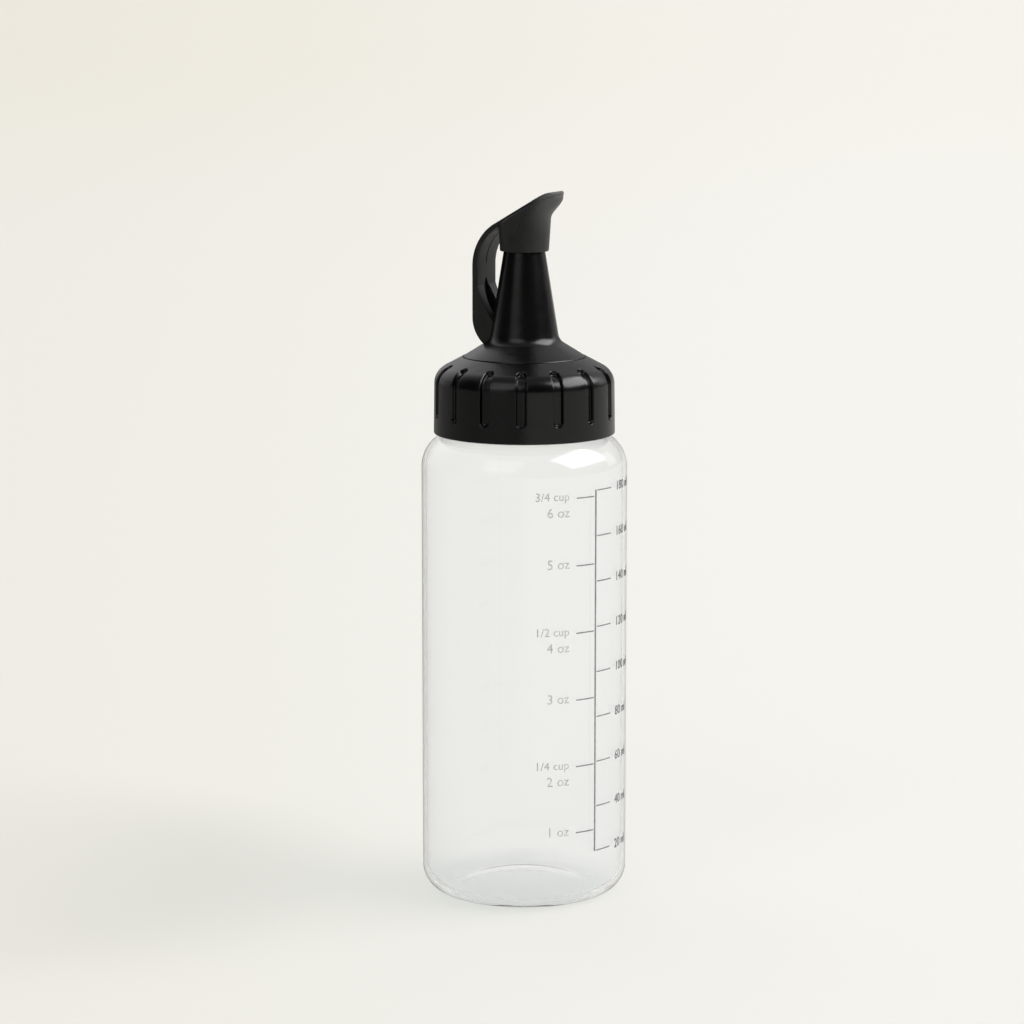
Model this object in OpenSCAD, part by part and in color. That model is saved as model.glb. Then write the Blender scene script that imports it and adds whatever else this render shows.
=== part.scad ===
// Squeeze bottle for sauce, with a screw collar, a cone nozzle and a tethered tip cap.
// Millimetres, +Z up, origin on the table under the middle of the bottle.
// The tip cap's thumb tab points to +X and its strap runs down the -X side.

/* [Bottle body] */
// Outside diameter of the body
body_d = 50; // [44:1:60]
// Height at which the straight wall ends and the shoulder begins
body_h = 105.5; // [85:0.5:140]
// Thickness of the side wall
wall = 1; // [0.8:0.1:1.4]
// Thickness of the floor
floor_t = 2; // [1.4:0.1:2.6]
// Radius of the round edge between the floor and the wall
heel_r = 6.5; // [4:0.5:8]
// Radius of the round shoulder
shoulder_r = 8.7; // [7.5:0.1:10]
// Diameter of the domed push-up under the floor
dome_d = 31; // [22:1:34]
// Height of the domed push-up
dome_h = 2; // [1:0.1:3]

/* [Neck and thread] */
// Diameter of the neck between the turns of its thread
neck_d = 35; // [32:0.5:38]
// Height of the neck above the shoulder
neck_h = 11.2; // [10.5:0.1:14]
// Thickness of the neck
neck_wall = 1.6; // [1.2:0.1:2]
// Rise of the thread in one turn
thread_pitch = 4.2; // [3.8:0.1:4.6]
// Number of turns of the thread
thread_turns = 1.5; // [1.25:0.05:1.75]
// Depth of the thread
thread_depth = 1.1; // [0.8:0.05:1.3]
// Width of one thread ridge at its root
thread_w = 2.2; // [1.8:0.1:2.4]
// Clearance between a thread's crest and the wall that it faces
thread_gap = 0.35; // [0.25:0.05:0.5]
// Clearance between the flanks of the two threads where they bear
thread_play = 0.15; // [0.1:0.05:0.3]

/* [Collar] */
// Thickness of the collar's grip wall
collar_wall = 3.05; // [2.6:0.05:3.4]
// How much narrower the grip wall is at its top, in radius
collar_draft = 0.2; // [0:0.05:0.4]
// Clearance between the collar's lower edge and the shoulder's top
collar_gap = 0.3; // [0.2:0.1:1]
// Height of the collar's top at its opening, above the nozzle's flange
plate_h = 4.3; // [3.8:0.1:4.9]
// How far the collar's top reaches in over the nozzle's flange
plate_land = 4.15; // [3.5:0.05:4.6]
// Slope of the collar's top, in degrees
collar_slope = 28.5; // [24:0.5:32]
// Radius between the collar's top and its grip wall
collar_round = 4.6; // [3:0.1:5]
// Number of grip grooves
groove_count = 15; // [12:1:18]
// Width of a grip groove
groove_w = 2.2; // [1.4:0.1:2.6]
// Depth of a grip groove
groove_depth = 0.9; // [0.6:0.05:1.1]
// Plain band between the collar's lower edge and the grooves
groove_rise = 4.1; // [2.5:0.1:4.8]
// Plain band between the collar's opening and the grooves
groove_top = 4.4; // [3.4:0.1:5]
// Turn of the collar when it is done up, in degrees
groove_turn = 8; // [0:1:23]

/* [Nozzle] */
// Thickness of the nozzle's flange
flange_t = 1.6; // [1.3:0.1:2]
// Clearance between the nozzle and the collar that turns on it
turn_gap = 0.15; // [0.1:0.05:0.3]
// Thickness of the nozzle's wall
nozzle_wall = 1.4; // [1.1:0.1:1.7]
// Slope of the nozzle's skirt, in degrees
skirt_slope = 32; // [28:1:36]
// Diameter of the spout at its foot
spout_d = 16.9; // [15.5:0.1:18.5]
// Diameter of the spout where the tip cap's lower edge stands
spout_top_d = 10; // [9.4:0.1:10.4]
// Height of the spout up to the tip cap's lower edge
spout_h = 21.4; // [19:0.2:25]
// Radius between the nozzle's skirt and the spout
spout_fillet = 3; // [0.6:0.1:3.4]
// Bore of the outlet
outlet_d = 3; // [2:0.1:3.4]

/* [Neck seal] */
// Thickness of the seal between the bottle's lip and the nozzle
seal_t = 1.4; // [1:0.1:1.8]
// How far the seal stands out past the lip on each side
seal_over = 0.4; // [0.2:0.05:0.5]

/* [Strap] */
// Width of the strap
strap_w = 9.8; // [9:0.1:11]
// Thickness of the strap
strap_t = 1.25; // [1:0.05:1.5]
// Distance from the nozzle's axis to the strap's outer face
strap_reach = 11.75; // [11.2:0.05:12.6]
// Outer radius of the strap's bend to the tip cap
strap_bend_r = 12; // [11.4:0.1:12.6]
// Width of the fine groove along the strap's inner face
strap_groove_w = 0.4; // [0.3:0.05:0.8]
// Depth of that groove
strap_groove_d = 0.3; // [0.2:0.05:0.5]

/* [Strap foot] */
// Drop from the tip cap's lower edge to the foot's top
foot_drop = 6; // [5.4:0.1:7]
// Height of the foot's thin upper end, above its webs
foot_neck_h = 2.4; // [1.8:0.1:3]
// Lean of the webs' inner edge at their top, in degrees
foot_lean = 18; // [14:1:24]
// Radius of the webs' inner edge
foot_inner_r = 30; // [24:1:40]
// Radius under the foot
foot_under_r = 8.2; // [7.6:0.1:8.6]
// Width of the arched pocket between the webs
pocket_w = 4; // [3.4:0.1:4.6]
// Thickness of the foot's outer wall behind the pocket
pocket_floor = 0.7; // [0.5:0.05:0.9]

/* [Tip cap] */
// Height of the tip cap's sloping top over the nozzle's axis
cap_h = 9.95; // [9.5:0.05:10.6]
// Slope of the tip cap's top, in degrees
cap_slope = 30; // [27:0.5:31]
// Thickness of the tongue that carries the strap on over the tip cap
tongue_t = 1.1; // [0.9:0.05:1.3]
// Height of the tongue above the tip cap's body
tongue_lift = 0.8; // [0.5:0.05:0.85]
// Wall of the tip cap at its lower edge
cap_wall = 0.75; // [0.6:0.05:1.1]
// How much wider the tip cap is where its beak begins, in radius
cap_flare = 0.5; // [0.3:0.05:0.8]
// Clearance between the tip cap and the spout inside it
cap_gap = 0.15; // [0.1:0.05:0.25]
// Height above the tip cap's lower edge where the beak begins
beak_rise = 7.7; // [7:0.1:8.5]
// Height of the beak's concave front
beak_h = 5.5; // [4.6:0.1:6]
// Distance from the nozzle's axis to the end of the tongue
tongue_reach = 10.1; // [9.8:0.1:11.2]
// Radius of the tongue's crown, seen from the side
crown_r = 4; // [3:0.1:6]
// How far the crown falls past level at the tongue's end, in degrees
crown_fall = 8; // [0:1:24]
// Step from the tongue's edge in to the beak under it
beak_step = 0.15; // [0.15:0.05:0.4]

/* [Printed scale] */
// Direction of the scale's upright line, in degrees from +X
scale_az = -19; // [-60:1:60]
// Width of the upright line
line_w = 0.45; // [0.3:0.05:0.8]
// Length of a tick
tick_len = 5.2; // [3:0.1:7]
// Thickness of a tick
tick_w = 0.3; // [0.2:0.05:0.5]
// Gap between the upright line and a tick
tick_gap = 0.3; // [0.2:0.05:1]
// Thickness of the ink
ink_t = 0.06; // [0.04:0.01:0.1]

/* [Hidden] */
$fn = 96;
eps = 0.01;
arc_steps = 10;
cut_over = 1;

// Bottle
body_r = body_d / 2;
neck_r = neck_d / 2;
neck_in_r = neck_r - neck_wall;
dome_r = dome_d / 2;
shoulder_cx = body_r - shoulder_r;
shoulder_end = acos(max(0, neck_r - shoulder_cx) / shoulder_r);
neck_z = body_h + shoulder_r * sin(shoulder_end);
lip_z = neck_z + neck_h;
lip_round = 0.5;

// Thread
thread_crest_w = thread_w * 0.45;
thread_sink = 0.3;
thread_steps = 36;
thread_fade = 30;
thread_end = 0.05;
thread_turn_a = 360 * thread_turns;
neck_thread_z = lip_z - 1 - thread_w / 2 - thread_pitch * thread_turns;
collar_bore_r = neck_r + thread_depth + thread_gap;
// The collar's ridge lies under the neck's ridge, flank to flank with the play between them.
collar_thread_z = neck_thread_z - (thread_w + thread_crest_w) / 2 - thread_play
                  - (thread_w - thread_crest_w) * thread_gap / thread_depth / 2;

// Stack above the lip
flange_z = lip_z + seal_t;
plate_z = flange_z + flange_t;
seam_z = plate_z + plate_h;

// Collar
collar_r = collar_bore_r + collar_wall;
collar_z = neck_z + collar_gap;
collar_top_r = collar_r - collar_draft;
seam_r = collar_bore_r - plate_land;
seam_edge = 0.3;
bead_reach = 0.65;
bead_h = 0.8;
round_tan = collar_round * tan((90 - collar_slope) / 2);
round_z = seam_z - (collar_top_r - seam_r) * tan(collar_slope) - round_tan;

// Nozzle
flange_r = collar_bore_r - turn_gap;
nozzle_seam_r = seam_r - turn_gap;
spout_r = spout_d / 2;
spout_top_r = spout_top_d / 2;
spout_z = seam_z + (nozzle_seam_r - spout_r) * tan(skirt_slope);
spout_slope = (spout_r - spout_top_r) / spout_h;
spout_lean = atan(spout_slope);
cap_z = spout_z + spout_h;
tip_step = 1;
tip_h = 5.8;
tip_foot_r = spout_top_r - 1.1;
tip_r = tip_foot_r - 1;
outlet_r = outlet_d / 2;
outlet_funnel_h = 0.8;
outlet_h = 1.6;

// Strap and its foot
strap_r = strap_reach - strap_t;
bend_x = strap_bend_r - strap_reach;
bend_z = cap_z + cap_h + (bend_x * sin(cap_slope) - strap_bend_r) / cos(cap_slope);
bend_end_a = 128;
groove_end_a = bend_end_a - 4;
foot_top_z = cap_z - foot_drop;
web_z = foot_top_z - foot_neck_h;
foot_rise = 5.4;
foot_under_z = spout_z + foot_rise;
foot_under_w = 3.4;
foot_low_z = foot_under_z - foot_under_r + 0.3;
pocket_top_z = foot_top_z - 0.8;
pocket_arch_h = 5.4;
hinge_a = (180 + bend_end_a) / 2;
hinge_x = bend_x + (strap_bend_r - strap_t / 2) * cos(hinge_a);
hinge_z = bend_z + (strap_bend_r - strap_t / 2) * sin(hinge_a);

// Key on the spout's back that holds the strap's foot
key_w = 2.4;
key_t = 0.9;
key_bite = 0.6;
key_h = 3.4;
key_z = foot_under_z - 0.6 - key_h;
key_reach = spout_r + 1.15;
key_gap = 0.05;

// Tip cap
cavity_r = spout_top_r + cap_gap;
cavity_step = 2.6;
cavity_top_r = tip_foot_r + 0.4;
cavity_z = cap_z + tip_h + 2 * cap_gap;
cap_r = cavity_r + cap_wall;
cap_top_r = cap_r + cap_flare;
cap_edge = 0.25;
cap_sides = 60;
cap_rings = 8;
beak_rings = 10;
beak_r = strap_w / 2 - beak_step;
beak_x = tongue_reach - beak_step - beak_r;
nose_a = 30;
taper_a = 2;
tongue_end_x = tongue_reach - strap_w / 2;
crown_x = tongue_reach - tongue_t / 2 - (crown_r - tongue_t / 2) * sin(crown_fall);
crown_z = cap_z + cap_h + (crown_x * sin(cap_slope) - crown_r) / cos(cap_slope);

// Scale: one US fluid ounce and 20 millilitres, in cubic millimetres
ounce = 29574;
ounces = 6;
ml_step = 20000;
ml_steps = 9;
bore_area = PI * pow(body_r - wall, 2);
heel_in_r = heel_r - wall;
heel_centre = body_r - wall - heel_in_r * (10 - 3 * PI) / (12 - 3 * PI);
heel_loss = (1 - PI / 4) * pow(heel_in_r, 2) * 2 * PI * heel_centre;
dome_loss = PI * dome_h * (3 * dome_r * dome_r + dome_h * dome_h) / 6;
fill_z = floor_t + (heel_loss + dome_loss) / bore_area;
ounce_h = ounce / bore_area;
ml_h = ml_step / bore_area;

// Points of an arc about c, from angle a0 to a1
function arc(c, r, a0, a1, n = arc_steps) =
    [for (i = [0:n]) let (a = a0 + (a1 - a0) * i / n) c + r * [cos(a), sin(a)]];

// Points of the domed push-up from its edge to the axis, raised by z
function dome(z) =
    let (r = (dome_r * dome_r + dome_h * dome_h) / (2 * dome_h), a = asin(dome_r / r))
    arc([0, z + dome_h - r], r, 90 - a, 90);

// A helical ridge about the Z axis. Its root lies at radius r and its crest at r + depth, so a
// negative depth makes an internal ridge. Both ends fade into the wall.
module ridge(r, depth, z) {
    steps = round(thread_steps * thread_turns);
    out = sign(depth);
    sunk_w = thread_w + (thread_w - thread_crest_w) * thread_sink / abs(depth);
    points = [
        for (i = [0:steps])
            let (a = thread_turn_a * i / steps,
                 s = max(thread_end, min(1, a / thread_fade, (thread_turn_a - a) / thread_fade)),
                 zi = z + thread_pitch * a / 360,
                 root = [r - out * thread_sink, sunk_w / 2],
                 crest = [r + depth * s, (thread_w + (thread_crest_w - thread_w) * s) / 2],
                 inner = out > 0 ? root : crest,
                 outer = out > 0 ? crest : root)
            for (p = [[inner[0], -inner[1]], [outer[0], -outer[1]], outer, inner])
                [p[0] * cos(a), p[0] * sin(a), zi + p[1]]
    ];
    last = 4 * steps;
    faces = concat(
        [[3, 2, 1], [3, 1, 0], [last, last + 1, last + 2], [last, last + 2, last + 3]],
        [for (i = [0:steps - 1], k = [0:3], half = [0, 1])
            let (a = 4 * i + k, b = 4 * i + (k + 1) % 4)
            half == 0 ? [a, b, b + 4] : [a, b + 4, a + 4]]
    );
    polyhedron(points, faces);
}

// The clear bottle: one wall with its push-up, heel, shoulder, neck, lip and thread
module bottle_shell() {
    color([0.86, 0.89, 0.88, 0.4])
    union() {
        rotate_extrude()
            polygon(concat(
                [[0, dome_h], [0, dome_h + floor_t]],
                [for (i = [arc_steps - 1:-1:0]) dome(floor_t)[i]],
                arc([body_r - heel_r, floor_t + heel_in_r], heel_in_r, -90, 0),
                arc([shoulder_cx, body_h], shoulder_r - wall, 0,
                    acos(max(0, neck_in_r - shoulder_cx) / (shoulder_r - wall))),
                [[neck_in_r, neck_z - wall + eps]],
                arc([neck_in_r + lip_round, lip_z - lip_round], lip_round, 180, 90, 4),
                arc([neck_r - lip_round, lip_z - lip_round], lip_round, 90, 0, 4),
                [[neck_r, neck_z + eps]],
                arc([shoulder_cx, body_h], shoulder_r, shoulder_end, 0),
                arc([body_r - heel_r, heel_r], heel_r, 0, -90),
                [for (i = [0:arc_steps - 1]) dome(0)[i]]
            ));
        ridge(neck_r, thread_depth, neck_thread_z);
    }
}

// A tick of ink on the wall, from angle a0 to a1, at height z
module tick(z, a0, a1) {
    rotate([0, 0, a0])
        rotate_extrude(angle = a1 - a0)
            translate([body_r, z - tick_w / 2])
                square([ink_t, tick_w]);
}

// The printed scale: an upright line, ounce ticks on one side and millilitre ticks on the other
module scale_marks() {
    degrees = 180 / (PI * body_r);
    near = (line_w / 2 + tick_gap) * degrees;
    far = near + tick_len * degrees;
    low = fill_z + ml_h - tick_w / 2;
    high = fill_z + ml_steps * ml_h + tick_w / 2;
    color([0.35, 0.35, 0.34]) {
        rotate([0, 0, scale_az - line_w / 2 * degrees])
            rotate_extrude(angle = line_w * degrees)
                translate([body_r, low])
                    square([ink_t, high - low]);
        for (i = [1:ounces])
            tick(fill_z + i * ounce_h, scale_az - far, scale_az - near);
        for (i = [1:ml_steps])
            tick(fill_z + i * ml_h, scale_az + near, scale_az + far);
    }
}

// The soft ring between the bottle's lip and the nozzle's flange
module neck_seal() {
    color([0.62, 0.62, 0.6])
    translate([0, 0, lip_z])
        difference() {
            cylinder(h = seal_t, r = neck_r + seal_over);
            translate([0, 0, -eps])
                cylinder(h = seal_t + 2 * eps, r = neck_in_r - seal_over);
        }
}

// Outline of the collar's outside, from its lower edge up to its opening
function collar_outside(inset = 0) = concat(
    [[collar_r - inset, collar_z], [collar_top_r - inset, round_z]],
    arc([collar_top_r - collar_round, round_z], collar_round - inset, 0, 90 - collar_slope),
    [[seam_r + seam_edge, seam_z - seam_edge * tan(collar_slope) - inset / cos(collar_slope)]]
);

// The zone that the grip grooves cut: their depth, measured square to the collar's outside
module groove_zone() {
    inner = collar_outside(groove_depth);
    rotate_extrude()
        polygon(concat(
            [for (i = [len(inner) - 1:-1:0]) inner[i]],
            [[collar_r + cut_over, collar_z], [collar_r + cut_over, seam_z + cut_over],
             [seam_r, seam_z + cut_over]]
        ));
}

// The grooves' shape, seen from outside: upright slots with round ends
module groove_slots() {
    low = collar_z + groove_rise + groove_w / 2;
    high = seam_z + cut_over;
    reach = seam_r + groove_top;
    for (i = [0:groove_count - 1])
        rotate([0, 0, groove_turn + i * 360 / groove_count])
            translate([reach, 0, low]) {
                translate([0, -groove_w / 2, 0])
                    cube([collar_r, groove_w, high - low]);
                rotate([0, 90, 0])
                    cylinder(h = collar_r, r = groove_w / 2);
                cylinder(h = high - low, r = groove_w / 2);
            }
}

// The screw collar: grip wall, sloping top with its opening, thread, and a bead that keeps the
// nozzle's flange in
module screw_collar() {
    bead_z = flange_z - turn_gap;
    color([0.07, 0.07, 0.075])
    union() {
        difference() {
            rotate_extrude()
                polygon(concat(
                    collar_outside(),
                    [[seam_r, seam_z - seam_edge],
                     [seam_r, plate_z],
                     [collar_bore_r, plate_z],
                     [collar_bore_r, bead_z],
                     [collar_bore_r - bead_reach, bead_z],
                     [collar_bore_r - bead_reach, bead_z - bead_h / 3],
                     [collar_bore_r, bead_z - bead_h],
                     [collar_bore_r, collar_z]]
                ));
            intersection() {
                groove_zone();
                groove_slots();
            }
        }
        ridge(collar_bore_r, -thread_depth, collar_thread_z);
    }
}

// Points of the nozzle's outside, from the opening in the collar up to the outlet
function nozzle_outside() =
    let (turn = 90 - skirt_slope - spout_lean,
         run = spout_fillet * tan(turn / 2),
         foot = [spout_r, spout_z],
         centre = foot + run * [cos(skirt_slope), -sin(skirt_slope)]
                  + spout_fillet * [sin(skirt_slope), cos(skirt_slope)])
    concat(
        [[nozzle_seam_r, seam_z - seam_edge], [nozzle_seam_r - seam_edge, seam_z]],
        arc(centre, spout_fillet, 270 - skirt_slope, 180 + spout_lean, 6),
        [[spout_top_r - tip_step * spout_slope, cap_z + tip_step],
         [tip_foot_r, cap_z + 2 * tip_step],
         [tip_r, cap_z + tip_h]]
    );

// The key on the spout's back that holds the strap's foot: a T seen from above
module strap_key(gap = 0) {
    head_w = pocket_w + 2 * key_bite;
    translate([-key_reach - gap, 0, key_z - gap]) {
        translate([0, -key_w / 2 - gap, 0])
            cube([key_reach - spout_top_r, key_w + 2 * gap, key_h + 2 * gap]);
        translate([0, -head_w / 2 - gap, 0])
            cube([key_t + 2 * gap, head_w + 2 * gap, key_h + 2 * gap]);
    }
}

// The nozzle: flange, sloping skirt and hollow spout with its outlet
module nozzle() {
    skirt_run = nozzle_wall / cos(skirt_slope);
    inner_r = nozzle_seam_r - nozzle_wall;
    spout_in_r = spout_r - nozzle_wall;
    spout_in_z = seam_z + (nozzle_seam_r - spout_in_r) * tan(skirt_slope) - skirt_run;
    color([0.05, 0.05, 0.055])
    difference() {
        union() {
            rotate_extrude()
                polygon(concat(
                    [[0, flange_z], [flange_r, flange_z], [flange_r, plate_z],
                     [nozzle_seam_r, plate_z]],
                    nozzle_outside(),
                    [[0, cap_z + tip_h]]
                ));
            strap_key();
        }
        rotate_extrude()
            polygon([
                [0, flange_z - eps],
                [inner_r, flange_z - eps],
                [inner_r, seam_z + (nozzle_seam_r - inner_r) * tan(skirt_slope) - skirt_run],
                [spout_in_r, spout_in_z],
                [spout_top_r - nozzle_wall, cap_z],
                [outlet_r, cap_z + tip_h - outlet_funnel_h - outlet_h],
                [outlet_r, cap_z + tip_h - outlet_funnel_h],
                [outlet_r + outlet_funnel_h, cap_z + tip_h + eps],
                [0, cap_z + tip_h + eps]
            ]);
    }
}

// Seen from the side, XZ outline to a solid of the strap's width
module side_slab(w) {
    rotate([90, 0, 0])
        translate([0, 0, -w / 2])
            linear_extrude(w)
                children();
}

// The arched pocket in the strap's foot, seen along X
module pocket() {
    low = key_z;
    arch_z = pocket_top_z - pocket_arch_h;
    translate([-strap_reach + pocket_floor, 0, 0])
        rotate([90, 0, 90])
            linear_extrude(strap_reach)
                polygon([[0, pocket_top_z],
                         [-pocket_w * 0.375, (pocket_top_z + arch_z) / 2],
                         [-pocket_w / 2, arch_z],
                         [-pocket_w / 2, low],
                         [pocket_w / 2, low],
                         [pocket_w / 2, arch_z],
                         [pocket_w * 0.375, (pocket_top_z + arch_z) / 2]]);
}

// The strap's foot: outer wall and two webs that run in to the spout
module strap_foot() {
    web_end_a = 40;
    inner_c = [-strap_r, web_z] + foot_inner_r * [cos(foot_lean), sin(foot_lean)];
    color([0.11, 0.11, 0.11])
    difference() {
        side_slab(strap_w)
            polygon(concat(
                [[-strap_reach, foot_top_z]],
                arc([-strap_reach + foot_under_r, foot_under_z], foot_under_r, 180,
                    180 + acos((foot_under_r - foot_under_w) / foot_under_r)),
                [[-spout_r + nozzle_wall, foot_low_z]],
                arc(inner_c, foot_inner_r, 180 + web_end_a, 180 + foot_lean),
                [[-strap_r, foot_top_z]]
            ));
        pocket();
        strap_key(key_gap);
        rotate_extrude()
            polygon(concat(
                [[0, plate_z], [nozzle_seam_r, plate_z]],
                nozzle_outside(),
                [[0, cap_z + tip_h]]
            ));
    }
}

// The thin stretch of the strap, which bends when the tip cap swings back
module strap() {
    inner_r = strap_bend_r - strap_t;
    color([0.11, 0.11, 0.11])
    difference() {
        side_slab(strap_w)
            polygon(concat(
                [[-strap_reach, foot_top_z]],
                arc([bend_x, bend_z], strap_bend_r, 180, bend_end_a, 2 * arc_steps),
                arc([bend_x, bend_z], inner_r, bend_end_a, 180, 2 * arc_steps),
                [[-strap_r, foot_top_z]]
            ));
        side_slab(strap_groove_w)
            polygon(concat(
                arc([bend_x, bend_z], inner_r + strap_groove_d, 180, groove_end_a),
                arc([bend_x, bend_z], inner_r - strap_groove_d, groove_end_a, 180)
            ));
    }
}

// Height of the tip cap's top at x, lowered by drop square to its surface
function cap_top(x, drop = 0) =
    x < crown_x - (crown_r - drop) * sin(cap_slope)
        ? cap_z + cap_h + x * tan(cap_slope) - drop / cos(cap_slope)
        : crown_z + sqrt(max(0, pow(crown_r - drop, 2) - pow(x - crown_x, 2)));

// Point of the tip cap's outside at height h above its lower edge, where the outside faces
// direction a. The section there is a round that grows a nose, joined to it by tangents.
function cap_point(h, a) =
    let (r = cap_r + cap_flare * min(1, h / beak_rise) - max(0, cap_edge - h),
         t = max(0, min(1, (h - beak_rise) / beak_h)),
         s = t * t * (3 - 2 * t),
         nose_r = r + (beak_r - r) * s,
         nose_x = beak_x * s)
    nose_x * cos(a) + nose_r > r
        ? [nose_x + nose_r * cos(a), nose_r * sin(a)]
        : r * [cos(a), sin(a)];

// Height above the lower edge at which that outside meets the sloping top
function rim_height(a, h = cap_h, n = 14) =
    n == 0 ? h : rim_height(a, cap_top(cap_point(h, a)[0], tongue_lift) - cap_z, n - 1);

// The tip cap's body: rings of such points from the lower edge up to the sloping top
module cap_body() {
    rings = cap_rings + beak_rings;
    half = cap_sides / 2;
    low = [0, cap_edge];
    points = [
        for (i = [0:rings + 1], k = [0:cap_sides - 1])
            let (a = 360 * k / cap_sides,
                 h = i < 2 ? low[i] : cap_edge + (rim_height(a) - cap_edge) * (i - 1) / rings,
                 p = cap_point(h, a))
                [p[0], p[1], cap_z + h]
    ];
    top = (rings + 1) * cap_sides;
    faces = concat(
        [[for (k = [0:cap_sides - 1]) k]],
        [for (i = [0:rings], k = [0:cap_sides - 1], side = [0, 1])
            let (a = i * cap_sides + k, b = i * cap_sides + (k + 1) % cap_sides)
            side == 0 ? [a, a + cap_sides, b + cap_sides] : [a, b + cap_sides, b]],
        [[top, top + cap_sides - 1, top + 1], [top + half, top + half - 1, top + half + 1]],
        [for (k = [1:half - 2], side = [0, 1])
            let (a = top + k, b = top + cap_sides - k)
            side == 0 ? [a, b, b - 1] : [a, b - 1, a + 1]]
    );
    polyhedron(points, faces);
}

// The tip cap: body with its beak, the tongue over it, and a blunt stopper in its cavity
module tip_cap() {
    stopper_r = outlet_r - cap_gap;
    nose = [crown_x, crown_z] + (crown_r - tongue_t / 2) * [sin(crown_fall), cos(crown_fall)];
    color([0.12, 0.12, 0.12])
    difference() {
        union() {
            cap_body();
            intersection() {
                side_slab(strap_w)
                    polygon(concat(
                        arc([bend_x, bend_z], strap_bend_r, bend_end_a, 90 + cap_slope, 4),
                        arc([crown_x, crown_z], crown_r, 90 + cap_slope, 90 - crown_fall),
                        arc(nose, tongue_t / 2, 90 - crown_fall - nose_a, -90 - crown_fall, 5),
                        arc([crown_x, crown_z], crown_r - tongue_t, 90 - crown_fall,
                            90 + cap_slope),
                        arc([bend_x, bend_z], strap_bend_r - tongue_t, 90 + cap_slope,
                            90 + cap_slope + taper_a, 2),
                        arc([bend_x, bend_z], strap_bend_r - strap_t, 90 + cap_slope + 2 * taper_a,
                            bend_end_a, 4)
                    ));
                translate([0, 0, cap_z])
                    linear_extrude(cap_h + tongue_reach)
                        union() {
                            translate([-strap_reach, -strap_w / 2])
                                square([strap_reach + tongue_end_x, strap_w]);
                            translate([tongue_end_x, 0])
                                circle(r = strap_w / 2);
                        }
            }
        }
        difference() {
            rotate_extrude()
                polygon([[0, cap_z - eps], [cavity_r, cap_z - eps], [cavity_r, cap_z + tip_step],
                         [cavity_top_r, cap_z + cavity_step], [cavity_top_r, cavity_z], [0, cavity_z]]);
            translate([0, 0, cavity_z - outlet_funnel_h])
                cylinder(h = outlet_funnel_h + eps, r1 = stopper_r, r2 = stopper_r + outlet_funnel_h);
        }
    }
}

bottle_shell();
scale_marks();
neck_seal();
screw_collar();
nozzle();
strap_foot();
strap();
tip_cap();
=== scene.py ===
"""Squeeze bottle for sauce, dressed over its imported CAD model.

The clear body, screw collar, nozzle, tethered tip cap and printed scale are surfaces worked out
with numpy. Shapes are written in millimetres and go into their meshes in metres.
"""

import math

import bmesh
import bpy
import numpy as np
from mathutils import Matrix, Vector


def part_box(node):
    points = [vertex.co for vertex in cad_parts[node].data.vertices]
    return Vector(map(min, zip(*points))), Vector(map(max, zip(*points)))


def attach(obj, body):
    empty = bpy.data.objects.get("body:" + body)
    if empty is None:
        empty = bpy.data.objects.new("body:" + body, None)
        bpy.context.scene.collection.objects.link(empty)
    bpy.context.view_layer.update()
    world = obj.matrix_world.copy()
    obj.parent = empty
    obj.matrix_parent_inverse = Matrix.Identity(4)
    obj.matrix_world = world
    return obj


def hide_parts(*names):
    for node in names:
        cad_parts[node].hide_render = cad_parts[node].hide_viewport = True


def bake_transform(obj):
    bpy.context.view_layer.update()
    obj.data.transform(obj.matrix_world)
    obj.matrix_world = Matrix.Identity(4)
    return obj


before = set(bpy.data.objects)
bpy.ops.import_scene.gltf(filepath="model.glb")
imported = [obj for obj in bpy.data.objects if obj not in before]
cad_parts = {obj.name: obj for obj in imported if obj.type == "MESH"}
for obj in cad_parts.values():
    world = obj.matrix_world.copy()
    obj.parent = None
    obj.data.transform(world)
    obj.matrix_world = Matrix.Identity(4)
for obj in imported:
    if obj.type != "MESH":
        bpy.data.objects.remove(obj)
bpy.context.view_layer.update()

# Sizes
MM = 0.001


def node_box(node):
    """Lowest and highest corner of a CAD node at rest, in millimetres."""
    low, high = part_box(node)
    return np.array(low) / MM, np.array(high) / MM


bottle_high = node_box("bottle_shell")[1]
collar_low, collar_high = node_box("screw_collar")
nozzle_low, nozzle_high = node_box("nozzle")
strap_low, strap_high = node_box("strap")
cap_low, cap_high = node_box("tip_cap")
marks_low, marks_high = node_box("scale_marks")

# Bottle
BODY_R = bottle_high[0]
WALL = 1.0
FLOOR_T = 2.0
HEEL_R = 6.5
SHOULDER_R = 8.7
BODY_H = 105.5
DOME_R = 15.5
DOME_H = 2.0
NECK_R = 17.5
NECK_IN_R = 15.9
LIP_Z = bottle_high[2]
LIP_ROUND = 0.5
RING_ROUND = 0.8  # inner edge of the ring that the bottle stands on
FLOOR_ROUND = 1.5  # edge of the dome inside the bottle
NECK_FOOT_RISE = 0.1  # how far the corner under the neck lies above the shoulder's end
NECK_FOOT_ROUND = 0.5
NECK_FOOT_IN_ROUND = 0.4

# Thread
THREAD_PITCH = 4.2
THREAD_TURNS = 1.5
THREAD_DEPTH = 1.1
THREAD_W = 2.2
THREAD_CREST_W = 0.45 * THREAD_W
THREAD_FADE = 30  # degrees over which a thread's end rises out of its wall
THREAD_DROP = 1.0  # from the lip down to the thread's upper end
THREAD_PLAY = 0.15  # between the flanks that bear
THREAD_GAP = 0.35  # between a crest and the wall that it faces
NECK_THREAD_Z = LIP_Z - THREAD_DROP - THREAD_W / 2 - THREAD_PITCH * THREAD_TURNS
COLLAR_THREAD_Z = (NECK_THREAD_Z - (THREAD_W + THREAD_CREST_W) / 2 - THREAD_PLAY
                   - (THREAD_W - THREAD_CREST_W) * THREAD_GAP / THREAD_DEPTH / 2)

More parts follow.
